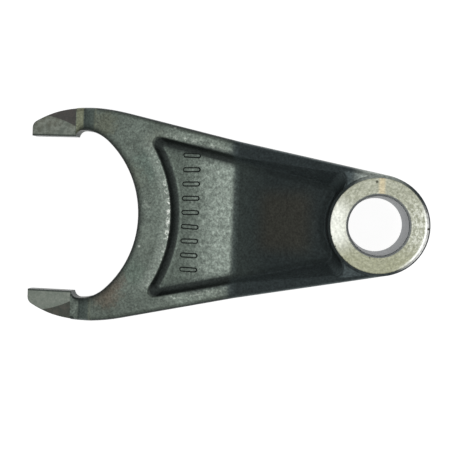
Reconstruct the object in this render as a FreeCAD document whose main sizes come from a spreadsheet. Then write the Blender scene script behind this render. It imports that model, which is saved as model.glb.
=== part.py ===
import FreeCAD, Part
import math
import os

import Sketcher
from FreeCAD import Vector

# Differential lock shift fork: one steel forging, symmetrical about the plane of its arm
# and about its centre line. The bore runs along Z through the origin, which lies at half
# the boss's height. The two prongs point along -X. All sizes are millimetres and degrees.

# Driving sizes
# name, value, what it measures
SIZES = [
    ("BoreRadius", 12.7, "bore for a one inch shift rail"),
    ("BoreChamfer", 0.85, "break at each mouth of the bore"),
    ("BossHeight", 46.0, "boss from machined face to machined face"),
    ("BossRadius", 23.0, "boss at the parting plane, where it is widest"),
    ("BossEdge", 1.2, "break of the boss's edge outside its machined ring"),
    ("OuterDraft", 4.0, "forging draft of the boss and of the outer sides"),
    ("ArmTaper", 11.3, "angle of the arm's sides to the centre line beside the boss"),
    ("CreaseReach", 63.0, "bore axis to the crease where the arm starts to thicken"),
    ("ShoulderRadius", 90.0, "outer sides where the arm swells into the prongs"),
    ("ProngReach", 136.0, "bore axis to the centre of the prongs' outer circle"),
    ("ProngRadius", 50.3, "outer circle of the prongs"),
    ("TipReach", 162.9, "bore axis to the ends of the prongs"),
    ("TipRadius", 4.0, "outer corner of each prong's end"),
    ("PlateHalf", 6.0, "half thickness of the flat plate round the mouth"),
    ("EdgeRadius", 2.2, "rounding of the forging's outer edges"),
    ("RibHeadReach", 15.0, "bore axis to the place where the ribs reach their full height"),
    ("RibDrop", 1.4, "drop from the end of the boss to the full height of the ribs"),
    ("FloorSlope", 9.5, "climb of the pocket's floor from the crease to the boss"),
    ("CreaseRadius", 8.0, "rounding in the creases"),
    ("PocketDepth", 3.5, "pocket below the flat plate"),
    ("PocketDraft", 33.0, "draft of the pocket's walls"),
    ("PocketRadius", 61.8, "end wall of the pocket, about the mouth's centre"),
    ("PocketCorner", 4.0, "corners of the pocket in plan"),
    ("RibWidth", 7.3, "rib at the crease, measured across the arm at the level of the plate"),
    ("PocketTaper", 12.8, "the pocket's side beside the plate, to the centre line"),
    ("RibTaper", 20.0, "the pocket's side beyond the crease, to the centre line"),
    ("NookRadius", 5.0, "upright corner where each rib runs into the boss"),
    ("FloorRadius", 4.5, "rounding at the foot of the pocket's walls"),
    ("RimRadius", 0.9, "rounding at the top of the pocket's walls"),
    ("PadHalf", 3.0, "half thickness of the machined pads on the prongs"),
    ("PadStock", 0.8, "forged face beside each pad, above the machined one"),
    ("PadReach", 141.0, "bore axis to the shoulder where the machined pads end"),
    ("RampFoot", 136.9, "bore axis to the foot of the ramp up to the plate"),
    ("RampHead", 131.1, "bore axis to the head of that ramp"),
    ("RampRadius", 3.0, "rounding at the foot and head of the ramp"),
    ("BevelRadius", 46.6, "inner edge of the bevel outside each pad, about the tips' line"),
    ("BevelAngle", 20.0, "slope of that bevel"),
    ("MouthHalf", 36.5, "half the gap between the pads' inner edges"),
    ("MouthReach", 155.4, "bore axis to the centre of the mouth's curve"),
    ("MouthRadius", 46.4, "mouth's curve"),
    ("RootHalf", 39.5, "centre line to the top of each root, where the mouth is widest"),
    ("RootRadius", 20.0, "root where it runs into the mouth's curve"),
    ("RootCorner", 3.4, "root where it meets the pad"),
    ("MouthEdge", 0.7, "break along the mouth's edges"),
]
V = {name: value for name, value, note in SIZES}

doc = FreeCAD.newDocument("shift_fork")
sheet = doc.addObject("Spreadsheet::Sheet", "Sizes")
for row, (name, value, note) in enumerate(SIZES, start=1):
    sheet.set("A%d" % row, name)
    sheet.set("B%d" % row, "%s" % value)
    sheet.set("C%d" % row, note)
    sheet.setAlias("B%d" % row, name)

def tan(degrees):
    return math.tan(math.radians(degrees))


def origin_feature(body, role):
    return next(f for f in body.Origin.OriginFeatures if f.Role == role)


def new_sketch(body, name, plane):
    sketch = body.newObject("Sketcher::SketchObject", name)
    sketch.AttachmentSupport = [(origin_feature(body, plane), "")]
    sketch.MapMode = "FlatFace"
    return sketch


def bind(sketch, name, constraint, expression):
    """Add a dimension to a sketch, name it and tie it to the sheet."""
    index = sketch.addConstraint(constraint)
    sketch.renameConstraint(index, name)
    sketch.setExpression("Constraints." + name, expression)


def place(sketch, name, geometry, point, x=None, y=None):
    """Hold one point of a sketch by expressions for its distances from the origin."""
    where = sketch.getPoint(geometry, point)
    for axis, value, expression in (("X", where.x, x), ("Y", where.y, y)):
        if expression is None:
            continue
        if expression == "0":
            line = -2 if axis == "X" else -1
            sketch.addConstraint(Sketcher.Constraint("PointOnObject", geometry, point, line))
            continue
        distance = Sketcher.Constraint("Distance" + axis, -1, 1, geometry, point, value)
        bind(sketch, name + axis, distance, expression)


def radius(sketch, name, geometry):
    """Tie the radius of an arc or circle to the size of the same name."""
    bind(sketch, name, Sketcher.Constraint("Radius", geometry, V[name]), "Sizes." + name)


def level(sketch, *geometry):
    for item in geometry:
        sketch.addConstraint(Sketcher.Constraint("Horizontal", item))


def upright(sketch, *geometry):
    for item in geometry:
        sketch.addConstraint(Sketcher.Constraint("Vertical", item))


def line(sketch, start, end):
    return sketch.addGeometry(Part.LineSegment(Vector(*start, 0), Vector(*end, 0)), False)


def arc(sketch, centre, size, start, end):
    """Arc about a centre, anticlockwise from one angle to the other, in degrees."""
    circle = Part.Circle(Vector(*centre, 0), Vector(0, 0, 1), size)
    curve = Part.ArcOfCircle(circle, math.radians(start), math.radians(end))
    return sketch.addGeometry(curve, False)


def join(sketch, first, second, smooth=False):
    """Bring the end of one curve to the start of the next."""
    kind = "Tangent" if smooth else "Coincident"
    sketch.addConstraint(Sketcher.Constraint(kind, first, 2, second, 1))


def chain(sketch, points):
    """Closed run of straight lines through the points."""
    edges = []
    for here, there in zip(points, points[1:] + points[:1]):
        edges.append(line(sketch, here, there))
    for here, there in zip(edges, edges[1:] + edges[:1]):
        join(sketch, here, there)
    return edges


def feature(body, kind, name, **values):
    item = body.newObject("PartDesign::" + kind, name)
    for key, value in values.items():
        setattr(item, key, value)
    return item


def edges_where(item, test):
    """Names of the edges of a feature whose middle and bounding box pass a test."""
    names = []
    for number, edge in enumerate(item.Shape.Edges, start=1):
        first, last = edge.ParameterRange
        if test(edge.valueAt((first + last) / 2), edge.BoundBox):
            names.append("Edge%d" % number)
    return names


def faces_where(item, test):
    """Names of the faces of a feature whose middle and normal pass a test."""
    names = []
    for number, face in enumerate(item.Shape.Faces, start=1):
        low, high, left, right = face.ParameterRange
        u, v = (low + high) / 2, (left + right) / 2
        if test(face.valueAt(u, v), face.normalAt(u, v)):
            names.append("Face%d" % number)
    return names


def fillet(body, name, base, edges, size):
    """Round edges of a feature by one of the named sizes."""
    item = feature(body, "Fillet", name, Base=(base, edges))
    item.setExpression("Radius", "Sizes." + size)
    doc.recompute()
    return item


fork = doc.addObject("PartDesign::Body", "Fork")
fork.Label = "fork"
fork.Placement = FreeCAD.Placement(Vector(0, 0, 0), FreeCAD.Rotation())

# Plan of the forging. The body is modelled as the quarter above the parting plane and on the
# +Y side of the centre line, and mirrored at the end.
taper = V["ArmTaper"]
boss_touch = (V["BossRadius"] * math.sin(math.radians(taper)),
              V["BossRadius"] * math.cos(math.radians(taper)))
crease_half = V["BossRadius"] / math.cos(math.radians(taper)) + V["CreaseReach"] * tan(taper)
crease_rule = ("Sizes.BossRadius / cos(Sizes.ArmTaper * 1 deg)"
               " + Sizes.CreaseReach * tan(Sizes.ArmTaper * 1 deg)")
crease_point = (-V["CreaseReach"], crease_half)
shoulder_centre = (-V["ProngReach"], V["ProngRadius"] - V["ShoulderRadius"])
to_crease = Vector(crease_point[0] - shoulder_centre[0], crease_half - shoulder_centre[1], 0)
shoulder_end = math.degrees(math.atan2(to_crease.y, to_crease.x)
                            + math.acos(V["ShoulderRadius"] / to_crease.Length))
shoulder_point = (shoulder_centre[0] + V["ShoulderRadius"] * math.cos(math.radians(shoulder_end)),
                  shoulder_centre[1] + V["ShoulderRadius"] * math.sin(math.radians(shoulder_end)))
tip_x = -V["TipReach"] + V["TipRadius"]
tip_angle = math.degrees(math.acos((tip_x + V["ProngReach"]) / (V["ProngRadius"] - V["TipRadius"])))
tip_y = (V["ProngRadius"] - V["TipRadius"]) * math.sin(math.radians(tip_angle))

plan = new_sketch(fork, "PlanOfArm", "XY_Plane")
side_by_boss = line(plan, boss_touch, crease_point)
side_by_mouth = line(plan, crease_point, shoulder_point)
shoulder = arc(plan, shoulder_centre, V["ShoulderRadius"], shoulder_end, 90)
prong = arc(plan, (-V["ProngReach"], 0), V["ProngRadius"], 90, tip_angle)
tip_corner = arc(plan, (tip_x, tip_y), V["TipRadius"], tip_angle, 180)
tip_end = line(plan, (-V["TipReach"], tip_y), (-V["TipReach"], 0))
centre_line = line(plan, (-V["TipReach"], 0), (0, 0))
inside_boss = line(plan, (0, 0), boss_touch)
join(plan, side_by_boss, side_by_mouth)
join(plan, side_by_mouth, shoulder, smooth=True)
join(plan, shoulder, prong, smooth=True)
join(plan, prong, tip_corner, smooth=True)
join(plan, tip_corner, tip_end, smooth=True)
join(plan, tip_end, centre_line)
join(plan, centre_line, inside_boss)
join(plan, inside_boss, side_by_boss)
upright(plan, tip_end)
plan.addConstraint(Sketcher.Constraint("Vertical", prong, 1, prong, 3))
place(plan, "BossTouch", side_by_boss, 1,
      "Sizes.BossRadius * sin(Sizes.ArmTaper * 1 deg)", "Sizes.BossRadius * cos(Sizes.ArmTaper * 1 deg)")
place(plan, "Crease", side_by_boss, 2, "-Sizes.CreaseReach", crease_rule)
place(plan, "ProngCentre", prong, 3, "-Sizes.ProngReach", "0")
place(plan, "TipEnd", tip_end, 2, "-Sizes.TipReach", "0")
place(plan, "Axis", inside_boss, 1, "0", "0")
radius(plan, "ShoulderRadius", shoulder)
radius(plan, "ProngRadius", prong)
radius(plan, "TipRadius", tip_corner)

blank = feature(fork, "Pad", "ArmBlank", Profile=plan)
blank.setExpression("Length", "Sizes.BossHeight / 2")
doc.recompute()

# The outer sides lean inwards from the parting plane, so that the forging leaves its die.


def outer_side(middle, normal):
    """Upright face of the blank, off the centre line."""
    return middle.y > 1 and middle.x < 0 and abs(normal.z) < 0.1


outer_sides = faces_where(blank, outer_side)
outer_draft = feature(fork, "Draft", "OuterDraft", Base=(blank, outer_sides),
                      NeutralPlane=(origin_feature(fork, "XY_Plane"), [""]))
outer_draft.setExpression("Angle", "Sizes.OuterDraft")
doc.recompute()

# Side view of the upper face: forged face of the prongs, ramp, flat plate, climbing ribs and
# the level stretch that carries them into the boss.
forged_face = V["PadHalf"] + V["PadStock"]
rib_head = V["BossHeight"] / 2 - V["RibDrop"]
rib_climb = (rib_head - V["PlateHalf"]) / (V["CreaseReach"] - V["RibHeadReach"])
head_rule = "Sizes.BossHeight / 2 - Sizes.RibDrop"
beyond = V["TipReach"] + V["TipRadius"]
side = new_sketch(fork, "SideOfArm", "XZ_Plane")
outline = chain(side, [(-beyond, forged_face), (-V["RampFoot"], forged_face),
                       (-V["RampHead"], V["PlateHalf"]), (-V["CreaseReach"], V["PlateHalf"]),
                       (-V["RibHeadReach"], rib_head), (V["BossRadius"], rib_head),
                       (V["BossRadius"], V["BossHeight"]), (-beyond, V["BossHeight"])])
level(side, outline[0], outline[2], outline[4], outline[6])
upright(side, outline[5], outline[7])
place(side, "Foot", outline[0], 2, "-Sizes.RampFoot", "Sizes.PadHalf + Sizes.PadStock")
place(side, "Head", outline[1], 2, "-Sizes.RampHead", "Sizes.PlateHalf")
place(side, "Crease", outline[2], 2, "-Sizes.CreaseReach")
place(side, "RibHead", outline[3], 2, "-Sizes.RibHeadReach", head_rule)
place(side, "Inside", outline[4], 2, "Sizes.BossRadius")
place(side, "Above", outline[7], 1, "-(Sizes.TipReach + Sizes.TipRadius)", "Sizes.BossHeight")
upper_face = feature(fork, "Pocket", "UpperFace", Profile=side, Type="ThroughAll", SideType="Symmetric")
doc.recompute()


def across(*reaches):
    """Test for edges of the upper face that run straight across the arm at these reaches."""
    def test(middle, box):
        at_one = min(abs(middle.x + reach) for reach in reaches) < 0.01
        return at_one and box.XLength < 0.01 and box.ZLength < 0.01 and middle.z > forged_face - 0.1
    return test


rib_bends = edges_where(upper_face, across(V["CreaseReach"]))
crease = fillet(fork, "RibCrease", upper_face, rib_bends, "CreaseRadius")
head_bends = edges_where(crease, across(V["RibHeadReach"]))
head = fillet(fork, "RibHeadBend", crease, head_bends, "CreaseRadius")
ramp_bends = edges_where(head, across(V["RampFoot"], V["RampHead"]))
ramp = fillet(fork, "RampEdges", head, ramp_bends, "RampRadius")

# Edges where the outer sides meet the upper face.
outer_edges = []
for number, edge in enumerate(ramp.Shape.Edges, start=1):
    first, last = edge.ParameterRange
    middle = edge.valueAt((first + last) / 2)
    tops = 0
    for face in ramp.Shape.ancestorsOfType(edge, Part.Face):
        tops += abs(face.normalAt(*face.Surface.parameter(middle)).z) > 0.5
    if tops == 1 and middle.x < 0 and middle.y > 1 and middle.z > forged_face - 0.1:
        outer_edges.append("Edge%d" % number)
rounded_arm = fillet(fork, "OuterEdges", ramp, outer_edges, "EdgeRadius")

# The pocket between the ribs is cut by a core that fills it. The core has a low part beside
# the plate and a tall part between the ribs.
pocket_half = crease_half - V["RibWidth"]
pocket_rule = crease_rule + " - Sizes.RibWidth"
floor_z = V["PlateHalf"] - V["PocketDepth"]
mouth_centre = (-V["MouthReach"], 0)
flank = V["PocketTaper"]
core_top = V["BossHeight"] / 2 - V["RibDrop"] / 2
inner_reach = V["BossRadius"] / 2
tall_reach = V["BossRadius"] / 8


def rising_half(reach):
    """Half the width of the pocket beyond the crease, at the level of the plate."""
    return pocket_half - (V["CreaseReach"] - reach) * tan(V["RibTaper"])


def rising_rule(reach_rule):
    """Expression for the same width."""
    return "%s - (Sizes.CreaseReach - %s) * tan(Sizes.RibTaper * 1 deg)" % (pocket_rule, reach_rule)


def core_plan(name):
    """Body with a sketch at the level of the plate."""
    body = doc.addObject("PartDesign::Body", name)
    plane = body.newObject("PartDesign::Plane", name + "Level")
    plane.AttachmentSupport = [(origin_feature(body, "XY_Plane"), "")]
    plane.MapMode = "FlatFace"
    plane.setExpression("AttachmentOffset.Base.z", "Sizes.PlateHalf")
    sketch = body.newObject("Sketcher::SketchObject", name + "Plan")
    sketch.AttachmentSupport = [(plane, "")]
    sketch.MapMode = "FlatFace"
    return body, sketch


def drafted_pad(body, sketch, name, height):
    """Pad a plan up and down from its own level and lean its walls about that level."""
    pad = feature(body, "Pad", name, Profile=sketch, SideType="Two sides")
    pad.setExpression("Length", height)
    pad.setExpression("Length2", "Sizes.PocketDepth + Sizes.PlateHalf / 6")
    doc.recompute()
    walls = faces_where(pad, lambda middle, normal: middle.y > 0.1 and abs(normal.z) < 0.1 < abs(normal.y))
    lean = feature(body, "Draft", name + "Draft", Base=(pad, walls),
                   NeutralPlane=(origin_feature(body, "XY_Plane"), [""]), Reversed=True)
    lean.setExpression("Angle", "Sizes.PocketDraft")
    doc.recompute()
    return lean


core, low_plan = core_plan("PocketCore")
foot = Vector(-V["CreaseReach"] - mouth_centre[0], pocket_half, 0)
along = Vector(-math.cos(math.radians(flank)), math.sin(math.radians(flank)), 0)
half_way = foot.dot(along)
corner = foot - along * (half_way + math.sqrt(half_way ** 2 - foot.dot(foot) + V["PocketRadius"] ** 2))
corner_angle = math.degrees(math.atan2(corner.y, corner.x))
corner_point = (corner.x + mouth_centre[0], corner.y)
inner_half = rising_half(inner_reach)
end_wall = arc(low_plan, mouth_centre, V["PocketRadius"], 0, corner_angle)
side_flat = line(low_plan, corner_point, (-V["CreaseReach"], pocket_half))
side_rising = line(low_plan, (-V["CreaseReach"], pocket_half), (-inner_reach, inner_half))
inner_end = line(low_plan, (-inner_reach, inner_half), (-inner_reach, 0))
core_line = line(low_plan, (-inner_reach, 0), (mouth_centre[0] + V["PocketRadius"], 0))
for here, there in ((end_wall, side_flat), (side_flat, side_rising), (side_rising, inner_end),
                    (inner_end, core_line), (core_line, end_wall)):
    join(low_plan, here, there)
upright(low_plan, inner_end)
place(low_plan, "MouthCentre", end_wall, 3, "-Sizes.MouthReach", "0")
place(low_plan, "EndWall", end_wall, 1, None, "0")
place(low_plan, "Crease", side_flat, 2, "-Sizes.CreaseReach", pocket_rule)
place(low_plan, "InnerSide", side_rising, 2, None, rising_rule("Sizes.BossRadius / 2"))
place(low_plan, "InnerEnd", inner_end, 2, "-Sizes.BossRadius / 2", "0")
radius(low_plan, "PocketRadius", end_wall)
lean = Sketcher.Constraint("Angle", side_flat, math.radians(-flank))
bind(low_plan, "PocketTaper", lean, "-Sizes.PocketTaper * 1 deg")
low_core = drafted_pad(core, low_plan, "LowCore", "Sizes.PlateHalf / 6")


def corner_near(reach, slack):
    """Test for upright edges off the centre line whose middle is near one reach."""
    return lambda middle, box: box.ZLength > 3 and middle.y > 1 and abs(middle.x + reach) < slack


far_corner = edges_where(low_core, corner_near(-corner_point[0], 10))
cornered = fillet(core, "CoreCorner", low_core, far_corner, "PocketCorner")
side_bend = edges_where(cornered, corner_near(V["CreaseReach"], 2))
fillet(core, "SideCrease", cornered, side_bend, "CreaseRadius")

tall_core, tall_plan = core_plan("TallCore")
tall_start = V["CreaseReach"] - V["CreaseRadius"] / 4
tall = chain(tall_plan, [(-tall_start, 0), (-tall_start, rising_half(tall_start)),
                         (-tall_reach, rising_half(tall_reach)), (-tall_reach, 0)])
upright(tall_plan, tall[0], tall[2])
place(tall_plan, "Middle", tall[0], 1, None, "0")
place(tall_plan, "Start", tall[0], 2, "Sizes.CreaseRadius / 4 - Sizes.CreaseReach",
      rising_rule("(Sizes.CreaseReach - Sizes.CreaseRadius / 4)"))
place(tall_plan, "End", tall[1], 2, "-Sizes.BossRadius / 8", rising_rule("Sizes.BossRadius / 8"))
place(tall_plan, "EndMiddle", tall[2], 2, None, "0")
drafted_pad(tall_core, tall_plan, "HighCore",
            "Sizes.BossHeight / 2 - Sizes.RibDrop / 2 - Sizes.PlateHalf")
whole_core = feature(core, "Boolean", "WholeCore", Type="Fuse")
whole_core.addObjects([tall_core])
doc.recompute()

# The floor of the pocket is level under the plate and then climbs to the boss.
climb_rule = "Sizes.PlateHalf - Sizes.PocketDepth + Sizes.CreaseReach * tan(Sizes.FloorSlope * 1 deg)"
floor_end = floor_z + V["CreaseReach"] * tan(V["FloorSlope"])
below = new_sketch(core, "UnderTheFloor", "XZ_Plane")
under = chain(below, [(-V["TipReach"], floor_z), (-V["CreaseReach"], floor_z), (0, floor_end),
                      (0, -V["PocketDepth"]), (-V["TipReach"], -V["PocketDepth"])])
level(below, under[0], under[3])
upright(below, under[2], under[4])
place(below, "Start", under[0], 1, "-Sizes.TipReach")
place(below, "Crease", under[0], 2, "-Sizes.CreaseReach", "Sizes.PlateHalf - Sizes.PocketDepth")
place(below, "Climb", under[1], 2, "0", climb_rule)
place(below, "Under", under[3], 1, None, "-Sizes.PocketDepth")
floored = feature(core, "Pocket", "Floor", Profile=below, Type="ThroughAll", SideType="Symmetric")
doc.recompute()


def boss_profile(body, name, rise, rise_rule):
    """Half section of the boss from the parting plane up."""
    sketch = new_sketch(body, name, "XZ_Plane")
    top = V["BossRadius"] - rise * tan(V["OuterDraft"])
    lines = chain(sketch, [(0, 0), (V["BossRadius"], 0), (top, rise), (0, rise)])
    level(sketch, lines[0], lines[2])
    upright(sketch, lines[3])
    place(sketch, "Middle", lines[0], 1, "0", "0")
    place(sketch, "Foot", lines[0], 2, "Sizes.BossRadius")
    place(sketch, "Top", lines[1], 2,
          "Sizes.BossRadius - %s * tan(Sizes.OuterDraft * 1 deg)" % rise_rule, rise_rule)
    return sketch


# The boss stands in the core's inner end.
boss_in_core = boss_profile(core, "BossInCore", V["BossHeight"], "Sizes.BossHeight")
hollow = feature(core, "Groove", "BossHollow", Profile=boss_in_core,
                 ReferenceAxis=(boss_in_core, ["V_Axis"]), Angle=360)
doc.recompute()


def floor_crease(middle, box):
    """Edge across the floor where it starts to climb."""
    return abs(middle.x + V["CreaseReach"]) < 0.6 and box.XLength < 0.01 and box.ZMax < floor_z + 0.01


def boss_corner(middle, box):
    """Upright edge between a rib's wall and the boss."""
    return (middle.x > -V["BossRadius"] and middle.y > 1 and box.YMin > 1
            and box.ZMax > core_top - 0.01 and box.ZLength > V["BossHeight"] / 6)


def floor_outline(middle, box):
    """Edges round the foot of the walls, not those that run across the floor."""
    climb = max(0, middle.x + V["CreaseReach"]) * tan(V["FloorSlope"])
    return abs(middle.z - floor_z - climb) < 0.15 and box.XLength > 0.01 and middle.y > 0.1


creased = fillet(core, "FloorCrease", hollow, edges_where(hollow, floor_crease), "CreaseRadius")
nooks = fillet(core, "BossCorner", creased, edges_where(creased, boss_corner), "NookRadius")
fillet(core, "FloorRounding", nooks, edges_where(nooks, floor_outline), "FloorRadius")

pocket = feature(fork, "Boolean", "PocketBetweenRibs", Type="Cut")
pocket.addObjects([core])
doc.recompute()


def inner_rim(middle, box):
    """Edges at the top of the pocket's walls."""
    past = middle.x + V["CreaseReach"]
    rise = max(0, past) * rib_climb
    inner = (pocket_half - max(0, past) * tan(V["RibTaper"]) - min(0, past) * tan(flank)
             + rise * tan(V["PocketDraft"]))
    on_top = abs(middle.z - V["PlateHalf"] - rise) < 0.25 and middle.x < -V["BoreRadius"]
    return on_top and box.XLength > 0.01 and 0.1 < middle.y < inner + 1.5


rimmed = fillet(fork, "PocketRim", pocket, edges_where(pocket, inner_rim), "RimRadius")

# The pads on the prongs are milled level, up to a shoulder in the forged face.
milling = new_sketch(fork, "SideOfMilling", "XZ_Plane")
milled = chain(milling, [(-beyond, V["PadHalf"]), (-V["PadReach"], V["PadHalf"]),
                         (-V["PadReach"], V["BossHeight"]), (-beyond, V["BossHeight"])])
level(milling, milled[0], milled[2])
upright(milling, milled[1], milled[3])
place(milling, "Shoulder", milled[1], 1, "-Sizes.PadReach", "Sizes.PadHalf")
place(milling, "Beyond", milled[2], 2, "-Sizes.TipReach - Sizes.TipRadius", "Sizes.BossHeight")
pads = feature(fork, "Pocket", "Pads", Profile=milling, Type="ThroughAll", SideType="Symmetric")
doc.recompute()

# Outside each pad a bevel is turned about a line through the ends of the prongs.
cutter = doc.addObject("PartDesign::Body", "BevelCutter")
bevel_width = V["ProngRadius"] * 0.3
bevel_x = V["BevelRadius"] - V["TipReach"]
slope = new_sketch(cutter, "SideOfBevel", "XZ_Plane")
bevel = chain(slope, [(bevel_x, V["PadHalf"]),
                      (bevel_x + bevel_width, V["PadHalf"] - bevel_width * tan(V["BevelAngle"])),
                      (bevel_x + bevel_width, V["BossHeight"]), (bevel_x, V["BossHeight"])])
upright(slope, bevel[1], bevel[3])
level(slope, bevel[2])
place(slope, "Inner", bevel[0], 1, "Sizes.BevelRadius - Sizes.TipReach", "Sizes.PadHalf")
place(slope, "Outer", bevel[0], 2, "Sizes.BevelRadius - Sizes.TipReach + Sizes.ProngRadius * 0.3",
      "Sizes.PadHalf - Sizes.ProngRadius * 0.3 * tan(Sizes.BevelAngle * 1 deg)")
place(slope, "Top", bevel[2], 2, None, "Sizes.BossHeight")
spindle = line(slope, (-V["TipReach"], 0), (-V["TipReach"], V["BossHeight"]))
slope.setConstruction(spindle, True)
upright(slope, spindle)
place(slope, "Spindle", spindle, 1, "-Sizes.TipReach", "0")
place(slope, "SpindleEnd", spindle, 2, None, "Sizes.BossHeight")
feature(cutter, "Revolution", "BevelRing", Profile=slope, ReferenceAxis=(slope, ["Axis0"]), Angle=360)
clear_side = V["BevelRadius"] + V["BossRadius"]
arm_side = new_sketch(cutter, "ArmSideOfShoulder", "XY_Plane")
removed = chain(arm_side, [(-V["PadReach"], -clear_side), (clear_side, -clear_side),
                           (clear_side, clear_side), (-V["PadReach"], clear_side)])
level(arm_side, removed[0], removed[2])
upright(arm_side, removed[1], removed[3])
place(arm_side, "Low", removed[0], 1, "-Sizes.PadReach", "-Sizes.BevelRadius - Sizes.BossRadius")
place(arm_side, "High", removed[1], 2,
      "Sizes.BevelRadius + Sizes.BossRadius", "Sizes.BevelRadius + Sizes.BossRadius")
feature(cutter, "Pocket", "BevelEnd", Profile=arm_side, Type="ThroughAll", SideType="Symmetric")
doc.recompute()
bevels = feature(fork, "Boolean", "Bevels", Type="Cut")
bevels.addObjects([cutter])
doc.recompute()

# The mouth: straight between the pads, widening into a root behind each pad.
root_y = V["RootHalf"] - V["RootRadius"]
root_x = math.sqrt((V["MouthRadius"] - V["RootRadius"]) ** 2 - root_y ** 2) - V["MouthReach"]
root_angle = math.degrees(math.atan2(root_y, root_x + V["MouthReach"]))
nose_y = V["RootHalf"] - V["RootCorner"]
nose_angle = math.degrees(math.asin((V["MouthHalf"] - nose_y) / V["RootCorner"]))
nose_x = root_x - V["RootCorner"] * math.cos(math.radians(nose_angle))
mouth = new_sketch(fork, "PlanOfMouth", "XY_Plane")
deep = arc(mouth, mouth_centre, V["MouthRadius"], 0, root_angle)
root = arc(mouth, (root_x, root_y), V["RootRadius"], root_angle, 90)
nose = arc(mouth, (root_x, nose_y), V["RootCorner"], 90, 180 - nose_angle)
lip = line(mouth, (nose_x, V["MouthHalf"]), (-beyond, V["MouthHalf"]))
open_end = line(mouth, (-beyond, V["MouthHalf"]), (-beyond, 0))
mouth_line = line(mouth, (-beyond, 0), (mouth_centre[0] + V["MouthRadius"], 0))
join(mouth, deep, root, smooth=True)
join(mouth, root, nose, smooth=True)
for here, there in ((nose, lip), (lip, open_end), (open_end, mouth_line), (mouth_line, deep)):
    join(mouth, here, there)
level(mouth, lip)
upright(mouth, open_end)
mouth.addConstraint(Sketcher.Constraint("Vertical", root, 3, root, 2))
place(mouth, "Centre", deep, 3, "-Sizes.MouthReach", "0")
place(mouth, "Deepest", deep, 1, None, "0")
place(mouth, "OpenEnd", open_end, 2, "-Sizes.TipReach - Sizes.TipRadius", "0")
place(mouth, "MouthHalf", lip, 1, None, "Sizes.MouthHalf")
place(mouth, "RootHalf", root, 2, None, "Sizes.RootHalf")
radius(mouth, "MouthRadius", deep)
radius(mouth, "RootRadius", root)
radius(mouth, "RootCorner", nose)
opening = feature(fork, "Pocket", "Mouth", Profile=mouth, Type="ThroughAll", SideType="Symmetric")
doc.recompute()


def mouth_edge(middle, box):
    """Edges where the mouth's wall meets the forged faces above it."""
    off_deep = math.hypot(middle.x - mouth_centre[0], middle.y) - V["MouthRadius"]
    off_root = math.hypot(middle.x - root_x, middle.y - root_y) - V["RootRadius"]
    off_nose = math.hypot(middle.x - root_x, middle.y - nose_y) - V["RootCorner"]
    on_wall = middle.x > -V["PadReach"] + 0.02 and min(abs(off_deep), abs(off_root), abs(off_nose)) < 0.01
    return on_wall and box.ZMin > V["PadHalf"] + 0.5 and max(box.XLength, box.YLength) > 0.3


broken = feature(fork, "Chamfer", "MouthEdges", Base=(opening, edges_where(opening, mouth_edge)))
broken.setExpression("Size", "Sizes.MouthEdge")
doc.recompute()

# The other half of the arm, the boss, the other half of the forging and the bore.
fork.Tip = feature(fork, "Mirrored", "WholeArm", MirrorPlane=(origin_feature(fork, "XZ_Plane"), [""]),
                   TransformMode="Whole shape")
doc.recompute()
boss_side = boss_profile(fork, "SideOfBoss", V["BossHeight"] / 2, "Sizes.BossHeight / 2")
boss = feature(fork, "Revolution", "Boss", Profile=boss_side,
               ReferenceAxis=(boss_side, ["V_Axis"]), Angle=360)
doc.recompute()
boss_top = edges_where(boss, lambda middle, box: box.ZMin > V["BossHeight"] / 2 - 0.01)
rim = feature(fork, "Chamfer", "BossRim", Base=(boss, boss_top))
rim.setExpression("Size", "Sizes.BossEdge")
doc.recompute()
fork.Tip = feature(fork, "Mirrored", "WholeForging", MirrorPlane=(origin_feature(fork, "XY_Plane"), [""]),
                   TransformMode="Whole shape")
doc.recompute()

bore_plan = new_sketch(fork, "PlanOfBore", "XY_Plane")
ring = bore_plan.addGeometry(Part.Circle(Vector(0, 0, 0), Vector(0, 0, 1), V["BoreRadius"]))
bore_plan.addConstraint(Sketcher.Constraint("Coincident", ring, 3, -1, 1))
radius(bore_plan, "BoreRadius", ring)
bore = feature(fork, "Pocket", "Bore", Profile=bore_plan, Type="ThroughAll", SideType="Symmetric")
doc.recompute()
bore_ends = edges_where(bore, lambda middle, box: box.ZLength < 0.01
                        and abs(box.XLength - 2 * V["BoreRadius"]) < 0.01)
breaks = feature(fork, "Chamfer", "BoreBreaks", Base=(bore, bore_ends))
breaks.setExpression("Size", "Sizes.BoreChamfer")
doc.recompute()

for item in doc.Objects:
    if "Invalid" in item.State or "Error" in item.State:
        raise RuntimeError("%s did not build" % item.Label)
shape = fork.Shape
if shape.isNull() or not shape.isValid() or len(shape.Solids) != 1:
    raise RuntimeError("the fork is not one sound solid")
os.makedirs("parts", exist_ok=True)
shape.exportStep(os.path.join("parts", fork.Label + ".step"))
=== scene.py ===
# %% [markdown]
# # A forged differential lock fork
# A differential lock fork is one piece of forged steel. Its thick boss slides on a
# rail, and its two prongs push a sliding collar. The CAD model gives its shape and
# place. This lesson gives it the skin of a real forging, a floor, a lamp and a camera.
# The frame is loaded first, because every later cell measures from it.

# %% Load the frame
import math

import bpy
from mathutils import Matrix, Vector


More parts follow.
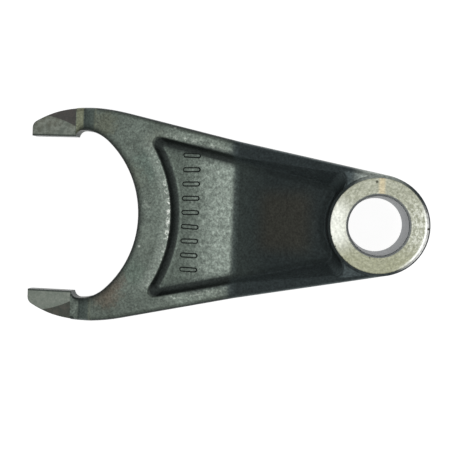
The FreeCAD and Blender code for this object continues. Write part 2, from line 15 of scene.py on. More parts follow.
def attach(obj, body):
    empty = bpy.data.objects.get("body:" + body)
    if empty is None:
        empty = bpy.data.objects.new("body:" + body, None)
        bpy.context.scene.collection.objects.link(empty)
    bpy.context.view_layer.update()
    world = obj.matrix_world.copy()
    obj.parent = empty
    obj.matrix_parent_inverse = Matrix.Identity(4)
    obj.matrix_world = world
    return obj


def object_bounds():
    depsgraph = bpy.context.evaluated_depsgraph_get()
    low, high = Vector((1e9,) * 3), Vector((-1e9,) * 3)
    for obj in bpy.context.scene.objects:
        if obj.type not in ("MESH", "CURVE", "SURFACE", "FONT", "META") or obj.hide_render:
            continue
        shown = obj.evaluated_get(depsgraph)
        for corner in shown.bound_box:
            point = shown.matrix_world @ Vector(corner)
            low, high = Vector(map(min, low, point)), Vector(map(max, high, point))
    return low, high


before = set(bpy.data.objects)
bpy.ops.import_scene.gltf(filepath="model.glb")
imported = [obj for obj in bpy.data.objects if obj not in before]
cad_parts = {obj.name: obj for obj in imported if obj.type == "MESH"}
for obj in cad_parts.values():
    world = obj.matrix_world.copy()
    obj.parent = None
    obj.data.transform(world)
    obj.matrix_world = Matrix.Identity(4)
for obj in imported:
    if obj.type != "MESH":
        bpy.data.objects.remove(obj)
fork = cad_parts["fork"]
cad_low, cad_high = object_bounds()
MM = 0.001
print("fork, mm:", [round((high - low) / MM, 1) for low, high in zip(cad_low, cad_high)])

# %% [markdown]
# A few real sizes of the fork place its marks, stains and machined faces. They are in
# millimetres from the axis of the bore, as on a drawing: the prongs point along -X and
# the bore runs along Z.

# %% Real sizes
BORE_RADIUS = 12.7
BORE_CHAMFER = 0.85
BOSS_RADIUS = 23.0
BOSS_EDGE = 1.2                  # the chamfer round the boss's face
OUTER_DRAFT = math.radians(4)    # outer walls lean in from the middle plane
PLATE_HALF = 6.0                 # half the plate's thickness
POCKET_DEPTH = 3.5
PAD_REACH = 141.0                # bore to the shoulder where the machined pads end
CREASE_REACH = 64.5              # bore to the bend where the arm starts to climb
MOUTH_REACH = 155.4              # bore to the centre of the mouth's curve
MOUTH_RADIUS = 46.4
MOUTH_HALF = 36.5                # half the gap between the pads' inner edges
ROOT_RADIUS = 20.0               # the curve at each prong's root runs into the mouth's
ROOT_HALF = 39.5                 # centre line to each root, where the mouth is widest
POCKET_RADIUS = 61.8             # the pocket's curved end, about the mouth's centre
POCKET_HALF = 28.7               # half the pocket's width at the crease
POCKET_TAPER = math.radians(12.8)

root_y = ROOT_HALF - ROOT_RADIUS
root_x = math.sqrt((MOUTH_RADIUS - ROOT_RADIUS) ** 2 - root_y ** 2) - MOUTH_REACH
boss_top = cad_high.z / MM
ring_edge = BOSS_RADIUS - math.tan(OUTER_DRAFT) * boss_top - BOSS_EDGE
pocket_floor = PLATE_HALF - POCKET_DEPTH
bore_edge = BORE_RADIUS + BORE_CHAMFER + 0.05
print("boss face at", round(boss_top, 2), "mm, pocket floor at", pocket_floor, "mm")

# %% [markdown]
# ## Camera
# The photograph looks straight down at a table on which the fork lies. The lens is
# long enough to keep the bore nearly round, and a little of its wall shows. A camera
# is easiest to read as a place, a point that it aims at, and a roll.

# %% Camera
FOCAL_IN_PIXELS = 800.0
IMAGE_SIDE = 458.0
SENSOR = 36.0
NEAR_CLIP = 10 * MM
CAMERA_PLACE = Vector((-14.2, 4.06, 366.0)) * MM
CAMERA_AIM = Vector((-67.0, -4.33, 0.0)) * MM
CAMERA_ROLL = math.radians(2.083)

camera_data = bpy.data.cameras.new("camera")
camera_data.sensor_width = SENSOR
camera_data.lens = FOCAL_IN_PIXELS / IMAGE_SIDE * SENSOR
camera_data.clip_start = NEAR_CLIP
camera = bpy.data.objects.new("camera", camera_data)
bpy.context.scene.collection.objects.link(camera)
toward = (CAMERA_AIM - CAMERA_PLACE).normalized()
right = toward.cross(Vector((0, 1, 0))).normalized()
above = right.cross(toward)
turned_up = above * math.cos(CAMERA_ROLL) - right * math.sin(CAMERA_ROLL)
turned_right = toward.cross(turned_up)
axes = Matrix((turned_right, turned_up, -toward)).transposed().to_4x4()
camera.matrix_world = Matrix.Translation(CAMERA_PLACE) @ axes
bpy.context.scene.camera = camera
print("lens", round(camera_data.lens, 2), "mm")

# %% [markdown]
# ## Colours and nodes
# Colours are written as the hex values that a paint chart gives, and one function
# turns them into the linear values that Blender mixes. One helper adds any node with
# its settings and links, so that a material reads as a list of what goes where. Some
# nodes have several sockets of one name, so those are picked by number, and the numbers
# of Map Range and of the colour Mix get names here.

# %% Colour and node helpers
VALUE, FROM_MIN, FROM_MAX, TO_MIN, TO_MAX = range(5)    # sockets of Map Range
FACTOR, UNDER, OVER = 0, 6, 7                           # sockets of Mix, for colours


def colour(hex_value, alpha=1.0):
    channels = [int(hex_value[i:i + 2], 16) / 255 for i in (1, 3, 5)]
    linear = [c / 12.92 if c <= 0.04045 else ((c + 0.055) / 1.055) ** 2.4 for c in channels]
    return (*linear, alpha)


def add(tree, kind, feeds=None, **settings):
    """One node. feeds gives its inputs: nodes and sockets are linked, the rest are values."""
    node = tree.nodes.new(kind)
    for name, value in settings.items():
        setattr(node, name, value)
    for name, value in (feeds or {}).items():
        if isinstance(value, bpy.types.Node):
            value = next(socket for socket in value.outputs if socket.enabled)
        if isinstance(value, bpy.types.NodeSocket):
            tree.links.new(value, node.inputs[name])
        else:
            node.inputs[name].default_value = value
    return node


def new_material(name):
    material = bpy.data.materials.new(name)
    material.use_nodes = True
    material.node_tree.nodes.clear()
    return material, material.node_tree


print("mid grey #808080 is", round(colour("#808080")[0], 3), "in linear light")

# %% [markdown]
# ## What the finish is measured from
# The fork is one solid, so one material carries its forged skin and its machined faces.
# Faces could be given materials one by one, but a shader can find them itself from where
# a point is and which way it faces. These nodes turn the place of a point into
# millimetres, and then into distances that a person would measure on the part.

# %% Measures
forging, tree = new_material("shot_blasted_forging_scale")
place = add(tree, "ShaderNodeTexCoord")
point = add(tree, "ShaderNodeVectorMath", {0: place.outputs["Object"], "Scale": 1 / MM},
            operation="SCALE")
across = add(tree, "ShaderNodeVectorMath", {0: point, 1: (1, 1, 0)}, operation="MULTIPLY")
along = add(tree, "ShaderNodeSeparateXYZ", {0: point})
facing = add(tree, "ShaderNodeSeparateXYZ", {0: place.outputs["Normal"]})
x, y = along.outputs[0], along.outputs[1]
# from the centre line, from the middle plane, and 1 on flat faces to 0 on upright walls
aside = add(tree, "ShaderNodeMath", {0: y}, operation="ABSOLUTE")
height = add(tree, "ShaderNodeMath", {0: along.outputs[2]}, operation="ABSOLUTE")
level = add(tree, "ShaderNodeMath", {0: facing.outputs[2]}, operation="ABSOLUTE")
from_bore = add(tree, "ShaderNodeVectorMath", {0: across}, operation="LENGTH")
from_mouth = add(tree, "ShaderNodeVectorMath", {0: across, 1: (-MOUTH_REACH, 0, 0)},
                 operation="DISTANCE")
# the pocket's side is a line that tapers towards the boss, and off_rib is the way past it
rib_edge = add(tree, "ShaderNodeMath",
               {0: x, 1: -math.tan(POCKET_TAPER),
                2: POCKET_HALF - math.tan(POCKET_TAPER) * CREASE_REACH},
               operation="MULTIPLY_ADD")
off_rib = add(tree, "ShaderNodeMath", {0: aside, 1: rib_edge}, operation="SUBTRACT")
folded = add(tree, "ShaderNodeCombineXYZ", {0: x, 1: aside})
from_root = add(tree, "ShaderNodeVectorMath", {0: folded, 1: (root_x, root_y, 0)},
                operation="DISTANCE")
print("measures:", len(tree.nodes), "nodes")

# %% [markdown]
# ## Noise at real sizes
# A hot forging leaves the press under a thin skin of iron oxide, called scale, and shot
# blasting turns it into a dull grey-green hide of fine dents. Its colour drifts over a
# centimetre or two, is blotched at a few millimetres, and is dotted by the shot at about
# one, which is drawn a little coarser than it is so that it shows. Each noise is named
# for what it stands for, and its scale is one over the size in millimetres.

# %% Noises
NOISES = {
    # noise: (size in mm, detail, roughness)
    "drift": (14.0, 4.0, 0.55),
    "blotch": (2.3, 4.0, 0.65),
    "dots": (0.95, 2.0, 0.6),
    "flecks": (1.7, 3.0, 0.75),
    "dents": (0.9, 3.0, 0.6),
}
NOISE_LOW, NOISE_HIGH = 0.3, 0.7    # most of a noise's values lie between these
noise = {name: add(tree, "ShaderNodeTexNoise",
                   {"Vector": point, "Scale": 1 / size, "Detail": detail,
                    "Roughness": roughness})
         for name, (size, detail, roughness) in NOISES.items()}
print("noises:", ", ".join(noise))

# %% [markdown]
# A facing tool leaves marks that run round the bore. Their noise reads the direction
# from the axis, which closes on itself without a seam where an angle would jump, and
# the distance from the axis.

# %% Turning marks
TURNING_ROUND = 9.0    # how far the noise is stretched round the bore
ring_way = add(tree, "ShaderNodeVectorMath", {0: across}, operation="NORMALIZE")
ring_way = add(tree, "ShaderNodeVectorMath", {0: ring_way, "Scale": TURNING_ROUND},
               operation="SCALE")
ring_out = add(tree, "ShaderNodeCombineXYZ", {2: from_bore})
ring_way = add(tree, "ShaderNodeVectorMath", {0: ring_way, 1: ring_out}, operation="ADD")
noise["turning"] = add(tree, "ShaderNodeTexNoise",
                       {"Vector": ring_way, "Scale": 1.1, "Detail": 5.0, "Roughness": 0.75})
print("turning marks join", len(noise) - 1, "other noises")

# %% [markdown]
# Stains on steel have ragged edges. A circle drawn on a map that a noise has pushed
# about comes out ragged, so the stains use such a map and the nicks use the plain one.

# %% A wandering map
WANDER = 11.0    # mm, over the whole range of the noise
wander = add(tree, "ShaderNodeVectorMath",
             {0: noise["blotch"].outputs["Color"], 1: (0.5, 0.5, 0.5)}, operation="SUBTRACT")
wander = add(tree, "ShaderNodeVectorMath", {0: wander, "Scale": WANDER}, operation="SCALE")
wander = add(tree, "ShaderNodeVectorMath", {0: wander, 1: across}, operation="ADD")
wander_x = add(tree, "ShaderNodeSeparateXYZ", {0: wander}).outputs[0]
print("the map wanders by up to", WANDER / 2, "mm")

# %% [markdown]
# ## Zones
# A zone is a soft-edged stretch of one measure: from, to, and how soft its edges are,
# with None where it is open. A table of zones is easier to read and to change than a
# hundred nodes in a row. The first table is for the boss and its machined ring.

# %% Zones of the boss
BOSS_ZONES = {
    # zone: (measure, from, to, softness)
    "boss_face": (height, boss_top - 0.08, None, 0.04),
    "boss_top": (height, boss_top - BOSS_EDGE - 0.1, None, 0.05),
    "boss_rim": (from_bore, ring_edge, None, 0.05),
    "in_bore": (from_bore, None, bore_edge, 0.05),
    "bore_chamfer": (from_bore, BORE_RADIUS + 0.1, bore_edge, 0.05),
    "out_of_bore": (from_bore, bore_edge, None, 0.05),
    "ring_left": (x, None, -12.5, 4.5),
    "ring_middle": (aside, None, 9.0, 5.0),
    "ring_right": (x, 12.0, None, 5.0),
    "flank_top": (x, -9.0, 10.0, 4.0),
    "ring_low": (y, None, -10.0, 6.0),
    "ring_lower_half": (y, None, 6.0, 6.0),
    "ring_edge": (from_bore, ring_edge - 0.9, None, 0.4),
    "rim_line": (from_bore, None, ring_edge + 0.75, 0.1),
    "ring_high": (y, 13.2, None, 0.8),
    "streak": (x, -0.4, 2.0, 0.8),
    "turned_bright": (noise["turning"], 0.53, None, 0.1),
    "turned_dark": (noise["turning"], None, 0.44, 0.1),
}
print("zones of the boss:", len(BOSS_ZONES))

# %% [markdown]
# The prongs end in machined pads with a bevel along the outer curve, and two bands of
# other colours cross their roots.

# %% Zones of the prongs
PRONG_ZONES = {
    "prong_end": (x, None, -PAD_REACH, 0.05),
    "prong_edge": (aside, None, MOUTH_HALF + 0.75, 0.15),
    "pad_level": (level, 0.983, None, 0.008),
    "bevel_slope": (level, 0.87, 0.976, 0.008),
    "upper": (y, 0.0, None, 1.0),
    "lower": (y, None, 0.0, 1.0),
    "olive": (x, -140.8, -137.2, 0.35),
    "teal": (x, -136.4, -131.4, 1.0),
    "band_edge": (x, -131.4, -130.2, 0.4),
}
print("zones of the prongs:", len(PRONG_ZONES))

# %% [markdown]
# The arm is a flat plate up to a crease and climbs beyond it. Its pocket has a floor,
# walls and rims, and its slopes are told from its flats by which way they face.

# %% Zones of the arm
ARM_ZONES = {
    "before_crease": (x, None, -CREASE_REACH - 0.4, 1.6),
    "past_crease": (x, -CREASE_REACH - 0.4, None, 1.6),
    "near_crease": (x, None, -54.0, 9.0),
    "rib_fade": (x, -CREASE_REACH - 2.5, None, 3.5),
    "above_floor": (height, PLATE_HALF - 1.0, None, 0.5),
    "on_ribs": (off_rib, -1.5, None, 1.5),
    "toward_crease": (wander_x, -79.0, None, 10.0),
    "pocket_end": (from_mouth, POCKET_RADIUS + 1.6, None, 0.8),
    "below_plate": (height, None, PLATE_HALF - 0.75, 0.3),
    "at_plate": (height, PLATE_HALF - 0.7, PLATE_HALF + 1.2, 0.25),
    "flat": (level, 0.955, None, 0.03),
    "sloping": (level, None, 0.972, 0.02),
    "steep": (level, None, 0.66, 0.08),
    "rounded": (level, None, 0.84, 0.1),
    "wall_shade": (off_rib, -5.0, None, 2.6),
    "upright": (level, None, 0.36, 0.1),
    "end_rim": (from_mouth, POCKET_RADIUS - 1.7, POCKET_RADIUS + 0.3, 0.6),
    "end_rim_wide": (from_mouth, POCKET_RADIUS - 4.2, POCKET_RADIUS + 0.3, 1.6),
    "end_rim_width": (aside, None, 33.0, 2.5),
    "end_rim_middle": (aside, None, 13.0, 7.0),
    "rib_inner": (off_rib, None, 1.6, 1.3),
    "rib_rim": (off_rib, 0.9, 3.0, 0.6),
    "rib_rim_wide": (off_rib, 0.8, 5.0, 1.4),
    "rib_length": (x, -97.0, None, 3.0),
    "rib_to_crease": (x, -86.0, None, 10.0),
    "mouth_edge": (from_mouth, None, MOUTH_RADIUS + 1.8, 1.8),
    "mouth_arc": (x, -124.5, None, 1.5),
    "root_edge": (from_root, None, ROOT_RADIUS + 1.8, 1.8),
    "root_arc": (x, -139.5, -124.5, 1.5),
    "plate_ends": (x, -141.0, None, 1.0),
    "broken": (noise["flecks"], 0.55, None, 0.07),
    "patchy": (noise["drift"], 0.5, None, 0.14),
    "blotchy": (noise["blotch"], 0.52, None, 0.1),
    "climb_middle": (aside, None, 13.0, 5.0),
    "climb_brown": (x, -52.0, -30.0, 5.0),
}
print("zones of the arm:", len(ARM_ZONES))

# %% [markdown]
# Each zone takes one Map Range node for each end that isn't open. The first rises from 0
# to 1 across the soft edge. The second falls, and takes the first as its upper value,
# which multiplies the two.

# %% Zones as nodes
zone = {}
for name, (measure, start, end, soft) in {**BOSS_ZONES, **PRONG_ZONES, **ARM_ZONES}.items():
    inside = 1.0
    for limit, way in ((start, soft), (end, -soft)):
        if limit is not None:
            inside = add(tree, "ShaderNodeMapRange",
                         {VALUE: measure, FROM_MIN: limit - way, FROM_MAX: limit + way,
                          TO_MAX: inside}, interpolation_type="SMOOTHSTEP")
    zone[name] = inside
print("zones:", len(zone))

# %% [markdown]
# ## Colours in layers
# The skin is painted as a restorer would, from the ground up. First comes the drifting
# grey-green, with its brown and green stains and a few small light and dark spots. The
# stains are drawn on the wandering map, and the sharpest spots on the plain one.

# %% Ground and stains
SPOTS = [
    # middle in mm, radius in mm, colour, strength, map
    ((-123, -36), 10, "#6A5D50", 0.55, wander),
    ((-117, -30), 6, "#6B5E54", 0.4, wander),
    ((-126, 42), 8, "#676A5A", 0.55, wander),
    ((-104, 24), 11, "#5D6D65", 0.5, wander),
    ((-106, -10), 9, "#727C73", 0.5, wander),
    ((-112, 18), 8, "#6C7266", 0.5, wander),
    ((-101, 35), 7, "#737A70", 0.5, wander),
    ((-110, -26), 8, "#5B6A60", 0.5, wander),
    ((-71.2, 2.1), 0.9, "#2C322F", 0.8, across),
    ((-107.9, -13.7), 0.8, "#AEB4AC", 0.8, across),
    ((-98.7, -31.3), 1.3, "#B2B9B1", 0.8, across),
    ((-92.8, 41.1), 0.8, "#A3AAA1", 0.7, across),
    ((-99.6, 29.5), 1.4, "#A5ACA4", 0.7, across),
    ((-72.5, 9.2), 1.6, "#9FA8A0", 0.5, wander),
    ((-104.5, 5.5), 1.8, "#848C84", 0.6, wander),
]
SPOT_CORE = 0.3                       # a spot is at full strength within this share
DRIFT_LOW, DRIFT_HIGH = 0.32, 0.68
grounds = add(tree, "ShaderNodeMapRange",
              {VALUE: noise["drift"], FROM_MIN: DRIFT_LOW, FROM_MAX: DRIFT_HIGH})
skin = add(tree, "ShaderNodeMix",
           {FACTOR: grounds, UNDER: colour("#555D56"), OVER: colour("#6B756D")},
           data_type="RGBA")
for middle, radius, hex_value, strength, chart in SPOTS:
    reach = add(tree, "ShaderNodeVectorMath", {0: chart, 1: (*middle, 0)},
                operation="DISTANCE")
    share = add(tree, "ShaderNodeMapRange",
                {VALUE: reach, FROM_MIN: radius, FROM_MAX: radius * SPOT_CORE,
                 TO_MAX: strength}, interpolation_type="SMOOTHSTEP")
    skin = add(tree, "ShaderNodeMix", {FACTOR: share, UNDER: skin, OVER: colour(hex_value)},
               data_type="RGBA")
print("spots:", len(SPOTS))

# %% [markdown]
# A layer is a colour, a strength, and the zones that it needs at once. On the arm, the
# pocket's floor is painted darker, and brighter towards the crease, as painted shade and
# highlight, and darker at the feet of its walls, as painted shade. The rims are painted
# bright in flecks, partly wear and partly painted highlight, and the climb, the slopes,
# the walls and the edges of the mouth are painted dark, as painted shade.

# %% Layers of the arm
ARM_LAYERS = [
    # colour, strength, zones
    # painted shade and highlight: the pocket's floor is painted darker, and brighter towards
    # the crease where it mirrors the lamp
    ("#535C55", 0.85, "before_crease", "pocket_end", "below_plate"),
    ("#78827A", 0.95, "before_crease", "pocket_end", "below_plate", "flat", "toward_crease"),
    ("#8A938B", 0.5, "before_crease", "pocket_end", "below_plate", "flat", "toward_crease",
     "blotchy"),
    ("#3B423F", 0.7, "before_crease", "pocket_end", "below_plate", "wall_shade"),
    # partly wear and partly painted highlight: pale bands and bright flecks along the ribs'
    # and the pocket end's rims
    ("#6E776F", 0.6, "before_crease", "at_plate", "rib_rim_wide", "rib_length"),
    ("#7F887F", 0.6, "before_crease", "at_plate", "rib_rim_wide", "rib_to_crease", "blotchy"),
    ("#7F8880", 0.6, "before_crease", "at_plate", "end_rim_wide", "end_rim_width"),
    ("#A4ACA3", 0.7, "before_crease", "at_plate", "rib_rim", "rib_length", "broken"),
    # painted shade on the inner walls of the ribs
    ("#3B423F", 0.85, "before_crease", "at_plate", "rib_inner", "rib_to_crease"),
    ("#A9B1A8", 0.7, "before_crease", "at_plate", "end_rim", "end_rim_width", "broken"),
    ("#D0D4CD", 0.9, "before_crease", "at_plate", "end_rim", "end_rim_middle", "broken"),
    # painted shade: slopes in the pocket and the rounded outer edges of the plate are painted
    # dark
    ("#343A38", 0.85, "below_plate", "sloping", "before_crease"),
    ("#303634", 0.8, "before_crease", "rounded"),
    ("#83876F", 0.75, "plate_ends", "olive", "upper"),
    ("#78827A", 0.6, "plate_ends", "olive", "lower", "blotchy"),
    ("#56625D", 0.7, "teal", "plate_ends"),
    ("#7A8070", 0.35, "band_edge"),
    # painted shade: the ribs fade dark, and the climb past the crease is painted dark,
    # lighter near the crease and a little browner in the middle
    ("#3B4342", 0.85, "rib_fade", "above_floor"),
    ("#293030", 1.0, "past_crease"),
    ("#38403D", 0.8, "past_crease", "near_crease"),
    ("#363630", 0.9, "past_crease", "climb_middle", "climb_brown"),
    ("#363E3F", 0.9, "past_crease", "on_ribs"),
    # painted light: the steep walls of the climb are painted lighter, to soften their shade
    ("#4A5455", 0.9, "past_crease", "steep"),
    # painted shade: every upright wall is painted dark
    ("#39403F", 0.85, "upright"),
    # painted shade: a dark band along the mouth's edge and the prongs' roots, where the wall
    # falls away
    ("#212624", 0.92, "mouth_edge", "mouth_arc"),
    ("#212624", 0.92, "root_edge", "root_arc"),
]
print("layers of the arm:", len(ARM_LAYERS))

# %% [markdown]
# The pads are milled and a little brighter than the scale, with a patchy brown tarnish
# on the upper one. Their bevels are painted darker, with browner blotches, and so is the
# edge towards the mouth; both are painted shade.

# %% Layers of the prongs
PRONG_LAYERS = [
    ("#6C736B", 1.0, "prong_end", "pad_level"),
    ("#838B82", 0.7, "prong_end", "pad_level", "lower"),
    ("#676354", 0.5, "prong_end", "pad_level", "upper", "patchy"),
    ("#8A9087", 0.7, "prong_end", "pad_level", "blotchy"),
    # painted shade: the bevels, with browner blotches, and the edge towards the mouth are
    # painted darker
    ("#5D615A", 0.8, "prong_end", "bevel_slope"),
    ("#6A665F", 0.5, "prong_end", "bevel_slope", "blotchy"),
    ("#5C5758", 0.5, "prong_end", "bevel_slope", "upper"),
    ("#39403D", 0.8, "prong_end", "prong_edge"),
]
print("layers of the prongs:", len(PRONG_LAYERS))

# %% [markdown]
# The facing tool left the ends of the boss bright and a little yellow with old oil. Its
# marks vary round the ring, and a pale streak crosses it. Bright patches on its left and
# right, a bright band along its right and lower edge and a lighter upper flank are painted
# highlight, and the bright line on its edge is partly wear and partly painted highlight.
# The bore is darker, with a lighter chamfer.

# %% Layers of the boss
BOSS_LAYERS = [
    # painted highlight on the upper flank of the boss
    ("#8A918B", 0.95, "boss_rim", "flank_top", "upper"),
    ("#858779", 1.0, "boss_face", "out_of_bore"),
    ("#6E705F", 0.45, "boss_face", "out_of_bore", "turned_dark"),
    ("#A2A496", 0.7, "boss_face", "out_of_bore", "turned_bright"),
    ("#7D7E64", 0.5, "boss_face", "out_of_bore", "ring_low"),
    # painted highlight: bright patches on the ring's left and right, and a bright band along
    # its right and lower edge
    ("#C8CAC2", 0.85, "boss_face", "out_of_bore", "ring_left", "ring_middle"),
    ("#C2C4BB", 0.75, "boss_face", "out_of_bore", "ring_right", "ring_middle",
     "turned_bright"),
    ("#E0E2DD", 0.9, "boss_face", "ring_edge", "ring_right", "ring_lower_half"),
    ("#BCAD8C", 0.55, "boss_face", "out_of_bore", "streak", "ring_high"),
    # partly wear and partly painted highlight: the bright line on the edge, on its right and
    # lower half only
    ("#E8E9E6", 1.0, "boss_top", "boss_rim", "rim_line", "ring_right", "ring_lower_half"),
    ("#3A4347", 1.0, "in_bore"),
    ("#5F676B", 0.7, "in_bore", "blotchy"),
    ("#A6AAA8", 0.8, "bore_chamfer", "boss_top"),
]
print("layers of the boss:", len(BOSS_LAYERS))

# %% [markdown]
# All the layers go on in one loop, which multiplies a layer's strength by its zones and
# mixes its colour over what lies below by that share. Later layers cover earlier ones.

# %% Painting the layers
layers = ARM_LAYERS + PRONG_LAYERS + BOSS_LAYERS
for hex_value, strength, *names in layers:
    share = strength
    for name in names:
        share = add(tree, "ShaderNodeMath", {0: share, 1: zone[name]}, operation="MULTIPLY")
    skin = add(tree, "ShaderNodeMix", {FACTOR: share, UNDER: skin, OVER: colour(hex_value)},
               data_type="RGBA")
print("layers:", len(layers))

# %% [markdown]
# Handling left the ends of the boss nicked along the edges. The nicks are small dark
# spots of their own, because they cut through every layer.

# %% Nicks
NICKS = [
    # middle in mm, radius in mm
    ((-1.4, 18.6), 0.75), ((20.6, -0.6), 0.7), ((-19.6, -5.2), 0.5), ((-14.8, -13.9), 0.55),
    ((-12.6, -15.8), 0.5), ((-17.8, -9.4), 0.45), ((-9.4, -18.1), 0.45), ((17.4, 11.4), 0.4),
    ((19.3, 6.6), 0.4), ((-3.2, -13.6), 0.4),
]
NICK_CORE = 0.4
for middle, radius in NICKS:
    reach = add(tree, "ShaderNodeVectorMath", {0: across, 1: (*middle, 0)},
                operation="DISTANCE")
    share = add(tree, "ShaderNodeMapRange",
                {VALUE: reach, FROM_MIN: radius, FROM_MAX: radius * NICK_CORE,
                 TO_MAX: zone["boss_top"]})
    skin = add(tree, "ShaderNodeMix", {FACTOR: share, UNDER: skin, OVER: colour("#3F3F35")},
               data_type="RGBA")
print("nicks:", len(NICKS))

# %% [markdown]
# The shot's dots and the blotches darken and lighten the scale. A cutting tool takes the
# scale off, so the pads, the ring and the bore keep less than a third of them. The node
# named forged holds that share, and the bump uses it again.

# %% Dots of the shot
ON_MACHINED = 0.3                     # share of the forged marks on machined faces
DOT_SWING, BLOTCH_SWING = 0.32, 0.14  # how far they darken and lighten the colour
machined = add(tree, "ShaderNodeMath", {0: zone["prong_end"], 1: zone["boss_face"]},
               operation="MAXIMUM")
machined = add(tree, "ShaderNodeMath", {0: machined, 1: zone["in_bore"]},
               operation="MAXIMUM")
forged = add(tree, "ShaderNodeMapRange", {VALUE: machined, TO_MIN: 1.0, TO_MAX: ON_MACHINED})
dotted = add(tree, "ShaderNodeMapRange",
             {VALUE: noise["dots"], FROM_MIN: NOISE_LOW, FROM_MAX: NOISE_HIGH,
              TO_MIN: 1 - DOT_SWING, TO_MAX: 1 + DOT_SWING})
blotched = add(tree, "ShaderNodeMapRange",
               {VALUE: noise["blotch"], FROM_MIN: NOISE_LOW, FROM_MAX: NOISE_HIGH,
                TO_MIN: 1 - BLOTCH_SWING, TO_MAX: 1 + BLOTCH_SWING})
dotted = add(tree, "ShaderNodeMath", {0: dotted, 1: blotched}, operation="MULTIPLY")
skin = add(tree, "ShaderNodeMix", {FACTOR: forged, UNDER: skin, OVER: dotted},
           data_type="RGBA", blend_type="MULTIPLY")
print("machined faces keep", ON_MACHINED, "of the dots")

# %% [markdown]
# ## Bump, gloss and the finished material
# Height changes too fine to model go into bump: the blotches stand for hammered scale,
# the dents for shot. Machined faces get less than a third of the forged bump, and the
# ends of the boss get the ripple of the turning tool, drawn wider apart than the real
# one. A Bevel node rounds sharp edges by half a millimetre, as handling does.

# %% Bump
EDGE_ROUND = 0.5    # mm
RIPPLE = 0.6        # strength of the turning marks
ringed = add(tree, "ShaderNodeMath", {0: zone["boss_face"], 1: RIPPLE}, operation="MULTIPLY")
normal = add(tree, "ShaderNodeBevel", {"Radius": EDGE_ROUND * MM}, samples=6)
BUMPS = [
    # noise, depth in mm, strength
    ("blotch", 0.10, forged),
    ("dents", 0.05, forged),
    ("turning", 0.03, ringed),
]
for name, depth, strength in BUMPS:
    normal = add(tree, "ShaderNodeBump",
                 {"Height": noise[name], "Strength": strength, "Distance": depth * MM,
                  "Normal": normal})
print("bumps:", ", ".join(name for name, depth, strength in BUMPS))

# %% [markdown]
# Steel is a metal, so its colour tints what it mirrors and its index of refraction is
# left alone. Blasted scale is a rougher, slightly less metallic skin over it. To the eye
# it gives a broad dull sheen, while the bare faces look cleaner and brighter.

# %% Gloss and output
DULL, POLISHED = 0.42, 0.34           # roughness between the dots and on them
SCALE_METAL, BARE_METAL = 0.85, 1.0
gloss = add(tree, "ShaderNodeMapRange",
            {VALUE: noise["dots"], FROM_MIN: NOISE_LOW, FROM_MAX: NOISE_HIGH,
             TO_MIN: DULL, TO_MAX: POLISHED})
metal = add(tree, "ShaderNodeMapRange",
            {VALUE: machined, TO_MIN: SCALE_METAL, TO_MAX: BARE_METAL})
surface = add(tree, "ShaderNodeBsdfPrincipled",
              {"Base Color": skin, "Metallic": metal, "Roughness": gloss, "Normal": normal})
add(tree, "ShaderNodeOutputMaterial", {"Surface": surface})
for each_slot in fork.material_slots:
    each_slot.material = forging
print("forging skin:", len(tree.nodes), "nodes on", len(fork.material_slots), "slot")

# %% [markdown]
# ## A row of tally marks
# Forgings carry marks that are cut into the die and so stand up from the part. A plain
# row of nine bars with round ends stands here, on the floor of the pocket. They repeat,
# so Geometry Nodes make them, and modelling nine bars one by one would be harder to
# change. The tree gets its sizes as named inputs.

# %% Inputs of the marks
marks_tree = bpy.data.node_groups.new("tally_marks", "GeometryNodeTree")
marks_tree.interface.new_socket("Marks", in_out="OUTPUT", socket_type="NodeSocketGeometry")
MARK_INPUTS = {
    # input: (kind of socket, value); lengths in metres
    "Count": ("NodeSocketInt", 9),
    "Pitch": ("NodeSocketFloat", 6.6 * MM),
    "Length": ("NodeSocketFloat", 8.6 * MM),
    "Width": ("NodeSocketFloat", 2.6 * MM),
    "Rise": ("NodeSocketFloat", 0.7 * MM),
    "Seed": ("NodeSocketInt", 4),
    "Skin": ("NodeSocketMaterial", forging),
}
for name, (kind, value) in MARK_INPUTS.items():
    marks_tree.interface.new_socket(name, in_out="INPUT", socket_type=kind)
given = add(marks_tree, "NodeGroupInput").outputs
print("inputs of the marks:", ", ".join(MARK_INPUTS))

# %% [markdown]
# One bar is a low cone, cut off at the top, whose two halves are pulled apart: the Sign
# of a point's x says which way it goes. The sides slope, as they must to leave a die.

# %% One bar
BAR_SIDES = 18
foot = add(marks_tree, "ShaderNodeMath", {0: given["Width"], 1: 0.5}, operation="MULTIPLY")
crown = add(marks_tree, "ShaderNodeMath", {0: foot, 1: 0.5}, operation="MULTIPLY")
bar = add(marks_tree, "GeometryNodeMeshCone",
          {"Vertices": BAR_SIDES, "Radius Top": crown, "Radius Bottom": foot,
           "Depth": given["Rise"]})
pull = add(marks_tree, "ShaderNodeMath", {0: given["Length"], 1: given["Width"]},
           operation="SUBTRACT")
pull = add(marks_tree, "ShaderNodeMath", {0: pull, 1: 0.5}, operation="MULTIPLY")
side = add(marks_tree, "ShaderNodeSeparateXYZ",
           {0: add(marks_tree, "GeometryNodeInputPosition")})
side = add(marks_tree, "ShaderNodeMath", {0: side}, operation="SIGN")
pull = add(marks_tree, "ShaderNodeMath", {0: pull, 1: side}, operation="MULTIPLY")
pull = add(marks_tree, "ShaderNodeCombineXYZ", {0: pull})
bar = add(marks_tree, "GeometryNodeSetPosition", {"Geometry": bar, "Offset": pull})
print("one bar:", BAR_SIDES, "sides")

# %% [markdown]
# The row is that bar set on the points of a line, each turned a hair by chance, as marks
# cut by hand are. The tree ends by making the copies real and giving them the skin.

